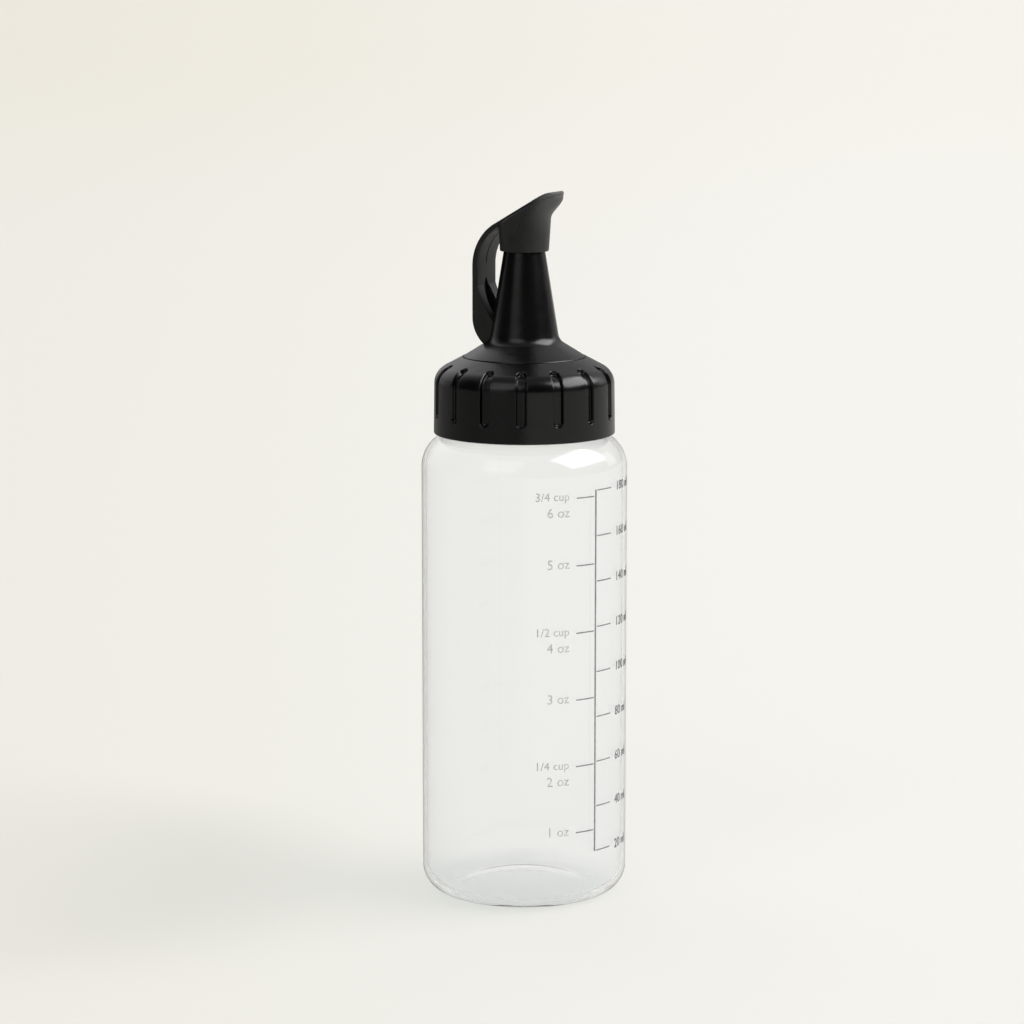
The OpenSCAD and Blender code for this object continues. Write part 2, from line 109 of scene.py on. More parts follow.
# Collar
COLLAR_R = collar_high[0]
COLLAR_DRAFT = 0.2  # how much narrower the grip wall is at its top
COLLAR_TOP_R = COLLAR_R - COLLAR_DRAFT
COLLAR_Z = collar_low[2]
COLLAR_SLOPE = math.radians(28.5)
COLLAR_ROUND = 4.6
COLLAR_EDGE = 0.35
COLLAR_LEAD = 0.3  # slope at the lower edge of the bore
BORE_R = NECK_R + THREAD_DEPTH + THREAD_GAP
BORE_ROUND = 0.2
BEAD_REACH = 0.65  # the bead under the flange keeps the nozzle in the collar
BEAD_H = 0.8
BEAD_ROUND = 0.1
SEAM_R = 14.8  # the opening that the nozzle's skirt comes out of
SEAM_Z = collar_high[2]
SEAM_EDGE = 0.25
SEAM_LIP = 0.6  # upright part of the opening's edge
GROOVES = 15
GROOVE_W = 2.2
GROOVE_DEPTH = 0.9
GROOVE_RISE = 4.1  # from the lower edge up to a groove's end
GROOVE_TOP = 4.4  # from the opening out to the end of a groove's middle line
GROOVE_TURN = math.radians(8)
GROOVE_EDGE = 0.24

# Nozzle
TURN_GAP = 0.15  # between the nozzle and the collar that turns on it
FLANGE_Z = nozzle_low[2]
FLANGE_R = nozzle_high[0]
FLANGE_T = 1.6
FLANGE_EDGE = 0.25
PLATE_Z = FLANGE_Z + FLANGE_T
NOZZLE_WALL = 1.4
NOZZLE_SEAM_R = SEAM_R - TURN_GAP
SKIRT_SLOPE = math.radians(32)
SPOUT_R = 8.45
SPOUT_TOP_R = 5.0
SPOUT_Z = SEAM_Z + (NOZZLE_SEAM_R - SPOUT_R) * math.tan(SKIRT_SLOPE)
SPOUT_FILLET = 3.0
SKIRT_EDGE = 0.35
TIP_TOP_Z = nozzle_high[2]
CAP_Z = cap_low[2]
SPOUT_FALL = (SPOUT_R - SPOUT_TOP_R) / (CAP_Z - SPOUT_Z)
TIP_STEP_IN = 1.1  # how much narrower than the spout's top the tip starts
TIP_STEP_H = 1.0
TIP_IN = 2.1  # and ends
TIP_ROUND = 0.25
SPOUT_IN_ROUND = 3.0
THROAT_ROUND = 1.5
SKIRT_IN_ROUND = 1.0
OUTLET_R = 1.5
OUTLET_ROUND = 0.5
OUTLET_FUNNEL = 0.8
OUTLET_H = 1.6

# Strap and foot
STRAP_HALF_W = strap_high[1]
STRAP_T = 1.25
STRAP_REACH = -strap_low[0]
STRAP_EDGE = 0.22
STRAP_GROOVE_W = 0.3  # a fine groove along the middle of the bend's inner face
STRAP_GROOVE_DEPTH = 0.3
TIP_EDGE = 0.5
BEND_R = 12.0
BEND_X = BEND_R - STRAP_REACH
BEND_END = 128
FOOT_TOP_Z = strap_low[2]
FOOT_UNDER_Z = SPOUT_Z + 5.4
FOOT_UNDER_R = 8.2  # round underside of the foot
FOOT_LEAN = math.radians(18)
FOOT_INNER_R = 30.0  # leaning arc of the webs' edges
WEB_Z = FOOT_TOP_Z - 2.4
POCKET_HALF_W = 2.0
POCKET_FLOOR = 0.7  # from the strap's back in to the pocket's floor
POCKET_TOP_Z = FOOT_TOP_Z - 0.8
POCKET_ARCH_H = 5.4
FOOT_LOW_Z = FOOT_UNDER_Z - 6.35
FOOT_SEAT = 0.12  # how deep the foot sits in the spout
KEY_Z = FOOT_UNDER_Z - 4.0
KEY_H = 3.4
KEY_REACH = 1.15  # from the spout's side out to the key's back
KEY_OVER = 0.6  # how much wider than the pocket the key's head is on each side
KEY_NECK_HALF_W = 1.2
KEY_T = 0.9
KEY_SINK = 0.9  # how deep the key's root lies in the spout

# Tip cap
CAP_GAP = 0.15  # between the cap and the spout
CAP_H = 9.95
CAP_SLOPE = math.radians(30)
TONGUE_T = 1.1
THINNING_L = 0.8  # way over which the strap thins to the tongue
TONGUE_LIFT = 0.8  # how far the cap's own top lies under the tongue's
TONGUE_REACH = cap_high[0]
CAVITY_R = SPOUT_TOP_R + CAP_GAP
CAVITY_TOP_R = 4.3
CAVITY_Z = TIP_TOP_Z + 0.3
CAVITY_LOW = 1.0  # the cavity narrows from this height
CAVITY_HIGH = 2.6  # to this one
STOPPER_R = 1.35
STOPPER_H = 0.8
CAP_WALL = 0.75
CAP_R = CAVITY_R + CAP_WALL
CAP_EDGE = 0.25
CAP_LIP = 0.35  # rounding of the upper rim
CAP_FLARE = 0.5
BEAK_RISE = 7.7  # height at which the beak starts
BEAK_H = 5.5  # height over which it grows
BEAK_STEP = 0.15  # how far the beak stands back under the tongue's edge
BEAK_R = STRAP_HALF_W - BEAK_STEP
BEAK_X = TONGUE_REACH - BEAK_STEP - BEAK_R
CROWN_R = 4.0  # the tongue's end turns down on this arc
CROWN_FALL = math.radians(8)  # slope at its very end
PAINTED_LIGHT_NEAR_X = 3.5  # the beak's painted highlight starts at this x and is full at the next
PAINTED_LIGHT_FAR_X = 8.5
PAINTED_LIGHT_LOW_Z = CAP_Z + 4.5  # the painted highlight is faint below this height and full at the next
PAINTED_LIGHT_HIGH_Z = CAP_Z + 9.0
RISE_Z = CAP_Z + CAP_H
BEND_Z = RISE_Z + (BEND_X * math.sin(CAP_SLOPE) - BEND_R) / math.cos(CAP_SLOPE)
CROWN_X = TONGUE_REACH - TONGUE_T / 2 - (CROWN_R - TONGUE_T / 2) * math.sin(CROWN_FALL)
CROWN_Z = RISE_Z + (CROWN_X * math.sin(CAP_SLOPE) - CROWN_R) / math.cos(CAP_SLOPE)

# Printed scale
SCALE_TURN = math.radians(-19)
INK_T = 0.05
INK_GAP = 0.01  # keeps the lettering's back out of the wall's face
ML_STEPS = 9
ML_STEP = 20
ML_PER_OUNCE = 29.574
TICK_W = 0.3
ML_H = (marks_high[2] - marks_low[2] - TICK_W) / (ML_STEPS - 1)
FILL_Z = marks_low[2] + TICK_W / 2 - ML_H
OUNCES = 6
OUNCE_H = ML_H * ML_PER_OUNCE / ML_STEP
OUNCE_X = -7.6  # right edge of the ounce lettering, along the wall from the scale's line
ML_X = 8.0  # left edge of the millilitre lettering
OUNCE_UP = 0.5  # lettering stands this much above its tick
OUNCE_SIZE = 3.3
CUP_SIZE = 2.9
ML_SIZE = 3.2
CUP_DROP = 3.9  # from a line of cups down to its line of ounces

# How fine the meshes are: columns round a turn, sides of an arc, longest side of an outline
BOTTLE_COLUMNS = 240
NOZZLE_COLUMNS = 192
CAP_COLUMNS = 144
GROOVE_COLUMNS = 36
DOME_SIDES = 14
HEEL_SIDES = 20
COLLAR_SIDES = 14
SPOUT_SIDES = 9
BEND_SIDES = 40
THREAD_STEP = 0.22
BORE_STEP = 0.3
GROOVE_END_STEP = 0.16
GRIP_STEP = 0.7
PLAIN_STEP = 3
WALL_STEP = 6

# Camera, from the photograph's ellipses: it stands to the right of the strap, a little above
PHOTO_SIDE = 1024
CAMERA_TURN = math.radians(28)
CAMERA_AWAY = 0.8632
CAMERA_Z = 0.2370
CAMERA_PITCH = math.radians(9.4)
FOCAL_PX = 3589  # focal length in the photograph's pixels
AXIS_COLUMN = 524.3  # pixel column on which the bottle's axis falls

# Softboxes: turn from straight behind the object and rise in degrees, half width, half height and
# soft edge as seen from the object, and strength
SOFTBOXES = (
    (95, 42, 0.50, 0.34, 0.08, 5.5),
    (60, 18, 0.16, 0.20, 0.06, 1.0),
    (216, 14, 0.26, 0.30, 0.10, 0.35),
    (209, 37, 0.34, 0.32, 0.12, 1.0),
)


# Outlines
def arc(centre, radius, start, end, steps):
    """Points of a circle's arc about centre, from start to end in degrees."""
    turn = np.radians(np.linspace(start, end, steps + 1))
    return np.stack([centre[0] + radius * np.cos(turn), centre[1] + radius * np.sin(turn)], 1)


def plain(points):
    """The points as corners that stay sharp."""
    return [(x, z, 0) for x, z in points]


def rounded(corners, steps=5):
    """Outline through corners (x, z, radius): each becomes an arc that touches both its sides."""
    spots = np.array([c[:2] for c in corners], float)
    parts = []
    for i, (_, _, radius) in enumerate(corners):
        if radius == 0:
            parts.append(spots[i : i + 1])
            continue
        back = spots[i - 1] - spots[i]
        on = spots[(i + 1) % len(spots)] - spots[i]
        back /= np.linalg.norm(back)
        on /= np.linalg.norm(on)
        half = math.acos(back @ on) / 2
        middle = (back + on) / np.linalg.norm(back + on)
        centre = spots[i] + middle * radius / math.sin(half)
        first = spots[i] + back * radius / math.tan(half) - centre
        last = spots[i] + on * radius / math.tan(half) - centre
        turn = math.pi - 2 * half
        share = np.linspace(0, 1, steps + 1)[:, None]
        parts.append(
            centre + (np.sin((1 - share) * turn) * first + np.sin(share * turn) * last) / math.sin(turn)
        )
    return np.concatenate(parts)


def refine(outline, step, closed=False):
    """The outline with points added, so that no side is longer than step(its middle)."""
    start = outline if closed else outline[:-1]
    end = np.roll(outline, -1, 0) if closed else outline[1:]
    length = np.linalg.norm(end - start, axis=1)
    count = np.maximum(1, np.ceil(length / step((start + end) / 2)).astype(int))
    side = np.repeat(np.arange(len(start)), count)
    share = (np.arange(count.sum()) - np.repeat(np.cumsum(count) - count, count)) / count[side]
    points = start[side] + (end - start)[side] * share[:, None]
    return points if closed else np.concatenate([points, outline[-1:]])


def even(step):
    """The same longest side everywhere, for refine."""
    return lambda middle: np.full(len(middle), step)


def outward(outline):
    """Unit normals of an open outline that runs upwards, pointing away from the axis."""
    along = np.gradient(outline, axis=0)
    along /= np.linalg.norm(along, axis=1)[:, None]
    return np.stack([along[:, 1], -along[:, 0]], 1)


def smooth(x):
    """0 below 0, 1 above 1, and 3x^2 - 2x^3 between."""
    x = np.clip(x, 0, 1)
    return x * x * (3 - 2 * x)


def full_turn(count):
    """count angles round a full turn."""
    return np.linspace(0, 2 * math.pi, count, endpoint=False)


def turned(radius, z, angle):
    """Grid of points at that radius, height and angle about the Z axis."""
    radius, z, angle = np.broadcast_arrays(radius, z, angle)
    return np.stack([radius * np.cos(angle), radius * np.sin(angle), z], -1)


def lathe(outline, count):
    """The outline (x outwards, z up) carried round the Z axis."""
    return turned(outline[:, :1], outline[:, 1:], full_turn(count)[None])


# Pieces
def piece(name, body, finish, *grids, node=None, slot=None, sharp=40):
    """A closed smooth solid from grids of points in millimetres.

    Each grid is (points, whether its rows join end to end, whether its columns do). Doubles are
    merged, open ends are filled and the faces point outwards.
    """
    points, quads, first = [], [], 0
    for grid, join_rows, join_columns in grids:
        rows, columns = grid.shape[:2]
        index = first + np.arange(rows * columns).reshape(rows, columns)
        if join_rows:
            index = np.vstack([index, index[:1]])
        if join_columns:
            index = np.hstack([index, index[:, :1]])
        corners = [index[:-1, :-1], index[:-1, 1:], index[1:, 1:], index[1:, :-1]]
        quads.append(np.stack(corners, -1).reshape(-1, 4))
        points.append(grid.reshape(-1, 3) * MM)
        first += rows * columns
    mesh = bpy.data.meshes.new(name)
    mesh.from_pydata(np.concatenate(points), [], np.concatenate(quads))
    return dressed(name, body, finish, mesh, node, sharp)


def dressed(name, body, finish, mesh, node=None, sharp=40):
    """The mesh merged, closed and turned outwards, as a piece that rides on its body."""
    work = bmesh.new()
    work.from_mesh(mesh)
    bmesh.ops.remove_doubles(work, verts=work.verts, dist=0.002 * MM)
    bmesh.ops.dissolve_degenerate(work, edges=work.edges, dist=0.0005 * MM)
    bmesh.ops.holes_fill(work, edges=[e for e in work.edges if e.is_boundary], sides=0)
    if work.calc_volume(signed=True) < 0:
        bmesh.ops.reverse_faces(work, faces=work.faces)
    work.to_mesh(mesh)
    work.free()
    mesh.shade_smooth()
    mesh.set_sharp_from_angle(angle=math.radians(sharp))
    mesh.materials.append(finish)
    obj = bpy.data.objects.new(name, mesh)
    bpy.context.scene.collection.objects.link(obj)
    if body:
        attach(obj, body)
    if node:
        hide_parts(node)
    return obj


def thread_rise(angle, z, base_z):
    """How far a helical thread stands out of its wall at that angle and height.

    Its section is a trapezium from THREAD_W at the root to THREAD_CREST_W at the crest, and the
    crest sinks to nothing over THREAD_FADE degrees at both ends.
    """
    flank = THREAD_DEPTH / ((THREAD_W - THREAD_CREST_W) / 2)
    rise = np.zeros(np.broadcast_shapes(angle.shape, z.shape))
    for turn in range(math.ceil(THREAD_TURNS)):
        run = np.degrees(angle) + 360 * turn
        left = 360 * THREAD_TURNS - run
        fade = np.clip(np.minimum(run, left) / THREAD_FADE, 0, 1)
        off = np.abs(z - base_z - THREAD_PITCH * run / 360)
        rise = np.maximum(rise, np.minimum(THREAD_DEPTH * fade, flank * (THREAD_W / 2 - off)))
    return rise


def bottle_shell(finish):
    """One clear wall: domed push-up, heel, straight body, round shoulder, threaded neck and lip.

    The outline runs from the axis under the floor, up the outside, over the lip and down the
    inside to the axis again. The neck's radius is raised by thread_rise.
    """
    dome = (DOME_R**2 + DOME_H**2) / (2 * DOME_H)
    dome_end = 90 - math.degrees(math.asin(DOME_R / dome))
    shoulder = (BODY_R - SHOULDER_R, BODY_H)
    top = math.degrees(math.acos((NECK_R - shoulder[0]) / SHOULDER_R))
    neck_z = BODY_H + SHOULDER_R * math.sin(math.radians(top))
    heel_x = BODY_R - HEEL_R
    under = arc((0, DOME_H - dome), dome, 90, dome_end, DOME_SIDES)
    inner_floor = arc((0, DOME_H - dome + FLOOR_T), dome, dome_end, 90, DOME_SIDES)
    outer_end, inner_end = top - 4, 84  # both arcs stop short of the neck, to leave its fillets room
    outline = rounded(
        plain(under[:-1])
        + [(DOME_R, 0, RING_ROUND)]
        + plain(arc((heel_x, HEEL_R), HEEL_R, -90, 0, HEEL_SIDES))
        + plain(arc(shoulder, SHOULDER_R, 0, outer_end, HEEL_SIDES))
        + [(NECK_R, neck_z + NECK_FOOT_RISE, NECK_FOOT_ROUND), (NECK_R, LIP_Z, LIP_ROUND)]
        + [(NECK_IN_R, LIP_Z, LIP_ROUND), (NECK_IN_R, neck_z - WALL, NECK_FOOT_IN_ROUND)]
        + plain(arc(shoulder, SHOULDER_R - WALL, inner_end, 0, HEEL_SIDES))
        + plain(arc((heel_x, FLOOR_T + HEEL_R - WALL), HEEL_R - WALL, 0, -90, HEEL_SIDES))
        + [(DOME_R, FLOOR_T, FLOOR_ROUND)]
        + plain(inner_floor[1:])
    )

    def step(middle):
        threaded = (middle[:, 0] > NECK_R - 0.1) & (middle[:, 1] > neck_z)
        return np.where(threaded, THREAD_STEP, WALL_STEP)

    outline = refine(outline, step)
    angle = full_turn(BOTTLE_COLUMNS)[None]
    radius, z = outline[:, :1], outline[:, 1:]
    on_neck = (radius > NECK_R - 0.01) & (z > neck_z + 0.3)
    radius = radius + on_neck * thread_rise(angle, z, NECK_THREAD_Z)
    grid = turned(radius, z, angle)
    return piece("clear_bottle", "bottle_body", finish, (grid, False, True),
                 node="bottle_shell", slot="clear_plastic")


def screw_collar(finish):
    """Ribbed collar: the outside sinks by GROOVE_DEPTH where a point lies inside a groove.

    A groove is an upright slot with round ends. Its edge distance is the distance from the slot's
    middle line less half its width, and a smooth step over GROOVE_EDGE gives the rounded edges.
    """
    corner_z = SEAM_Z - (COLLAR_TOP_R - SEAM_R) * math.tan(COLLAR_SLOPE)
    outside = rounded(
        [(BORE_R + COLLAR_LEAD, COLLAR_Z, 0), (COLLAR_R, COLLAR_Z, COLLAR_EDGE),
         (COLLAR_TOP_R, corner_z, COLLAR_ROUND), (SEAM_R, SEAM_Z, SEAM_EDGE),
         (SEAM_R, SEAM_Z - SEAM_LIP, 0)],
        steps=COLLAR_SIDES,
    )
    low = COLLAR_Z + GROOVE_RISE + GROOVE_W / 2
    reach = SEAM_R + GROOVE_TOP

    def step(middle):
        x, z = middle.T
        lower_end = (np.abs(z - low + GROOVE_W / 2) < 1.3) & (x > COLLAR_R - 1)
        upper_end = (np.abs(x - reach + GROOVE_W / 2) < 1.2) & (z > corner_z)
        return np.where(lower_end | upper_end, GROOVE_END_STEP, GRIP_STEP)

    outside = refine(refine(outside, even(0.5)), step)
    bead_z = FLANGE_Z - TURN_GAP
    inside = rounded(
        [(SEAM_R, SEAM_Z - SEAM_LIP - 0.1, 0), (SEAM_R, PLATE_Z, 0), (BORE_R, PLATE_Z, BORE_ROUND),
         (BORE_R, bead_z, 0), (BORE_R - BEAD_REACH, bead_z, BEAD_ROUND),
         (BORE_R - BEAD_REACH, bead_z - BEAD_H / 3, BEAD_ROUND), (BORE_R, bead_z - BEAD_H, 0),
         (BORE_R, COLLAR_Z + COLLAR_LEAD, 0)],
        steps=3,
    )
    inside = refine(inside, lambda m: np.where(m[:, 1] < bead_z - BEAD_H, BORE_STEP, PLAIN_STEP))

    # Columns crowd ten times as closely within crowd_w of a groove's edges as between grooves
    crowd_w = 0.4
    offset = np.linspace(-0.5, 0.5, 400)
    pitch = 2 * math.pi / GROOVES
    density = 1 + 9 * np.exp(-(((np.abs(offset) * pitch * COLLAR_R - GROOVE_W / 2) / crowd_w) ** 2))
    ladder = np.cumsum(density) - density[0]
    local = np.interp(np.arange(GROOVE_COLUMNS) / GROOVE_COLUMNS * ladder[-1], ladder, offset) * pitch
    angle = (local[None] + pitch * np.arange(GROOVES)[:, None] + GROOVE_TURN).reshape(1, -1)
    across = np.tile(local, GROOVES)[None]
    radius, z = outside[:, :1], outside[:, 1:]
    side, ahead = radius * np.sin(across), radius * np.cos(across)
    away = np.sqrt(side**2 + np.maximum(0, low - z) ** 2 + np.maximum(0, reach - ahead) ** 2)
    depth = GROOVE_DEPTH * smooth((GROOVE_W / 2 + GROOVE_EDGE - away) / (2 * GROOVE_EDGE))
    normal = outward(outside)
    outer = turned(radius - depth * normal[:, :1], z - depth * normal[:, 1:], angle)
    bore = np.abs(inside[:, :1] - BORE_R) < 0.01
    ridge = thread_rise(np.mod(angle, 2 * math.pi), inside[:, 1:], COLLAR_THREAD_Z)
    inner = turned(inside[:, :1] - bore * ridge, inside[:, 1:], angle)
    grid = np.concatenate([outer, inner])
    return piece("ribbed_collar", "collar_body", finish, (grid, True, True),
                 node="screw_collar", slot="black_polypropylene")


def nozzle_outside():
    """The nozzle's outside from the collar's opening up to the outlet, with its fillets."""
    return rounded(
        [(NOZZLE_SEAM_R, PLATE_Z + 0.3, 0), (NOZZLE_SEAM_R, SEAM_Z, SKIRT_EDGE),
         (SPOUT_R, SPOUT_Z, SPOUT_FILLET), (SPOUT_TOP_R - SPOUT_FALL, CAP_Z + TIP_STEP_H, 0.15),
         (SPOUT_TOP_R - TIP_STEP_IN, CAP_Z + 2 * TIP_STEP_H, TIP_ROUND),
         (SPOUT_TOP_R - TIP_IN, TIP_TOP_Z, TIP_ROUND), (OUTLET_R + OUTLET_FUNNEL, TIP_TOP_Z, 0)],
        steps=SPOUT_SIDES,
    )[:-1]


def nozzle(finish):
    """Flange, sloping skirt and hollow cone spout, one closed outline carried round the axis."""
    rise = math.tan(SKIRT_SLOPE)
    skirt_run = NOZZLE_WALL / math.cos(SKIRT_SLOPE)
    inner_r, spout_in_r = NOZZLE_SEAM_R - NOZZLE_WALL, SPOUT_R - NOZZLE_WALL
    flange = rounded(
        [(inner_r, FLANGE_Z, 0.2), (FLANGE_R, FLANGE_Z, FLANGE_EDGE), (FLANGE_R, PLATE_Z, FLANGE_EDGE),
         (NOZZLE_SEAM_R, PLATE_Z, 0)]
    )
    inside = rounded(
        [(OUTLET_R + OUTLET_FUNNEL, TIP_TOP_Z, 0), (OUTLET_R, TIP_TOP_Z - OUTLET_FUNNEL, 0),
         (OUTLET_R, TIP_TOP_Z - OUTLET_FUNNEL - OUTLET_H, OUTLET_ROUND),
         (SPOUT_TOP_R - NOZZLE_WALL, CAP_Z, SPOUT_IN_ROUND),
         (spout_in_r, SEAM_Z + (NOZZLE_SEAM_R - spout_in_r) * rise - skirt_run, THROAT_ROUND),
         (inner_r, SEAM_Z + (NOZZLE_SEAM_R - inner_r) * rise - skirt_run, SKIRT_IN_ROUND),
         (inner_r, FLANGE_Z + 0.3, 0)]
    )
    outline = refine(np.concatenate([flange, nozzle_outside(), inside]), even(PLAIN_STEP), True)
    return piece("cone_nozzle", "nozzle_body", finish, (lathe(outline, NOZZLE_COLUMNS), True, True),
                 node="nozzle", slot="black_polypropylene")


def strap_key(finish):
    """The T seen from above that holds the strap's foot on the spout, carried straight up."""
    back, front = -SPOUT_R - KEY_REACH, KEY_T - SPOUT_R - KEY_REACH
    root, head, neck = KEY_SINK - SPOUT_R, POCKET_HALF_W + KEY_OVER, KEY_NECK_HALF_W
    edge, corner = 0.15, 0.1
    plan = rounded(
        [(back, -head, edge), (back, head, edge), (front, head, edge), (front, neck, corner),
         (root, neck, 0), (root, -neck, 0), (front, -neck, corner), (front, -head, edge)],
        steps=3,
    )
    levels = np.array([KEY_Z, KEY_Z + KEY_H])
    grid = np.stack([np.broadcast_to(plan[None, :, k], (2, len(plan))) for k in (0, 1)]
                    + [np.broadcast_to(levels[:, None], (2, len(plan)))], -1)
    return piece("strap_key", "nozzle_body", finish, (grid, False, True), slot="black_polypropylene")


def strap_foot(finish):
    """The strap's foot: at each height a ring round its outer wall and its two webs.

    The inner side stands at the webs' edge, a leaning arc that runs in to the spout, except over
    the arched pocket between the webs, where it steps back to the pocket's floor.
    """
    z = np.concatenate([np.linspace(FOOT_LOW_Z, KEY_Z, 12)[:-1], KEY_Z + np.linspace(-0.1, 0.1, 4),
                        np.linspace(KEY_Z, WEB_Z, 40)[1:], np.linspace(WEB_Z, FOOT_TOP_Z, 14)[1:]])
    z = np.unique(np.round(z, 4))[:, None]
    curl = FOOT_UNDER_R - np.sqrt(FOOT_UNDER_R**2 - np.maximum(0, FOOT_UNDER_Z - z) ** 2)
    outer = curl - STRAP_REACH
    inner_c = np.array([STRAP_T - STRAP_REACH, WEB_Z]) + FOOT_INNER_R * np.array(
        [math.cos(FOOT_LEAN), math.sin(FOOT_LEAN)])
    web = inner_c[0] - np.sqrt(FOOT_INNER_R**2 - (inner_c[1] - np.minimum(z, WEB_Z)) ** 2)
    arch = np.clip((POCKET_TOP_Z - z) / POCKET_ARCH_H, 0.004, 1)
    pocket = POCKET_HALF_W * np.interp(arch, [0, 0.5, 1], [0, 0.75, 1])
    open_pocket = (z > KEY_Z) & (z < POCKET_TOP_Z)
    half, edge = STRAP_HALF_W, STRAP_EDGE
    bank = 0.16  # width of the slope between a web's inner face and the pocket's floor

    # Half a ring, from the middle of the outer wall round one side to the middle of the pocket
    corner = np.radians(np.linspace(0, 90, 5))[None]
    wall_y = np.linspace(0, half - edge, 7)[None] + 0 * z
    outer_y = np.concatenate([wall_y[:, :-1], half - edge + edge * np.sin(corner) + 0 * z], 1)
    outer_x = np.concatenate([outer + 0 * wall_y[:, :-1], outer + edge * (1 - np.cos(corner))], 1)
    lip_y = half - edge + edge * np.cos(corner) + 0 * z
    brink = pocket + 0.75 * bank
    web_y = brink + (half - edge - brink) * np.linspace(1, 0, 6)[None][:, 1:]
    bank_y = brink - bank * np.linspace(0, 1, 5)[None][:, 1:]
    floor_y = (brink - bank) * np.linspace(1, 0, 5)[None][:, 1:]
    inner_y = np.concatenate([lip_y, web_y, bank_y, floor_y], 1)
    nozzle_line = nozzle_outside()
    spout = np.interp(z, nozzle_line[:, 1], nozzle_line[:, 0])
    against = -np.sqrt(np.maximum((spout - FOOT_SEAT) ** 2 - inner_y**2, 0.01))
    inner_x = np.minimum(web, against)
    inner_x[:, :5] -= edge * (1 - np.sin(corner))
    sunk = smooth((brink - inner_y) / bank) * open_pocket
    inner_x += sunk * (POCKET_FLOOR - STRAP_REACH - inner_x)
    inner_x = np.maximum(inner_x, outer + 0.02)
    x = np.concatenate([outer_x, inner_x], 1)
    y = np.concatenate([outer_y, inner_y], 1)
    x = np.concatenate([x, x[:, -2:0:-1]], 1)
    y = np.concatenate([y, -y[:, -2:0:-1]], 1)
    grid = np.stack([x, y, z + 0 * x], -1)
    return piece("strap_base", "nozzle_body", finish, (grid, False, True),
                 node="strap_foot", slot="soft_black_rubber")


def strap(finish):
    """The thin strap: a flat section with rounded edges carried up and over the bend.

    The section lies across the path, and a fine groove sinks into the middle of its inner face,
    fading in over 1.5 mm of the bend's rise and out over 6 degrees before its end.
    """
    rise = np.linspace(FOOT_TOP_Z, BEND_Z, 5)[:-1]
    bend = arc((BEND_X, BEND_Z), BEND_R, 180, BEND_END, BEND_SIDES)
    path = np.concatenate([np.stack([0 * rise - STRAP_REACH, rise], 1), bend])
    turn = np.radians(np.concatenate([0 * rise + 180, np.linspace(180, BEND_END, BEND_SIDES + 1)]))
    normal = np.stack([np.cos(turn), np.sin(turn)], 1)
    half, edge = STRAP_HALF_W, STRAP_EDGE
    beside = (3, 1.5, 0.5, 0.28, 0.2, 0.12)  # how far points of the inner face lie from its middle
    inner_face = [*beside, 0, *(-v for v in beside[::-1])]
    section = rounded(
        [(-half, 0, edge), (half, 0, edge), (half, STRAP_T, edge)]
        + plain([(v, STRAP_T) for v in inner_face])
        + [(-half, STRAP_T, edge)],
        steps=4,
    )
    across, sunk = section.T
    middle = (np.abs(across) < STRAP_GROOVE_W / 2) & (sunk > STRAP_T - 0.01)
    rising, turning = (path[:, 1] - BEND_Z) / 1.5, (np.degrees(turn) - BEND_END - 2) / 6
    share = smooth(np.minimum(rising, turning))
    fall = sunk[None] - STRAP_GROOVE_DEPTH * middle[None] * share[:, None]
    place = path[:, None] - fall[..., None] * normal[:, None]
    grid = np.stack([place[..., 0], across[None] + 0 * fall, place[..., 1]], -1)
    obj = piece("living_strap", None, finish, (grid, False, True),
                node="strap", slot="soft_black_rubber")
    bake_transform(obj)
    return obj


def cap_top(x, drop):
    """Height of the tip cap's sloping top and round crown at x, lowered by drop square to it."""
    slope = RISE_Z + x * math.tan(CAP_SLOPE) - drop / math.cos(CAP_SLOPE)
    crown = CROWN_Z + np.sqrt(np.maximum(0, (CROWN_R - drop) ** 2 - (x - CROWN_X) ** 2))
    return np.where(x < CROWN_X - (CROWN_R - drop) * math.sin(CAP_SLOPE), slope, crown)


def cap_plan(height, angle):
    """Where the cap's outside faces that angle, at that height above its lower edge.

    The section is a round that grows a nose towards +X, joined to it by tangents. The nose's reach
    and radius follow a smooth step from BEAK_RISE up over BEAK_H.
    """
    radius = CAP_R + CAP_FLARE * np.clip(height / BEAK_RISE, 0, 1)
    share = smooth((height - BEAK_RISE) / BEAK_H)
    nose_r = radius + (BEAK_R - radius) * share
    nose_x = BEAK_X * share
    on_nose = nose_x * np.cos(angle) + nose_r > radius
    x = np.where(on_nose, nose_x + nose_r * np.cos(angle), radius * np.cos(angle))
    y = np.where(on_nose, nose_r * np.sin(angle), radius * np.sin(angle))
    return x, y


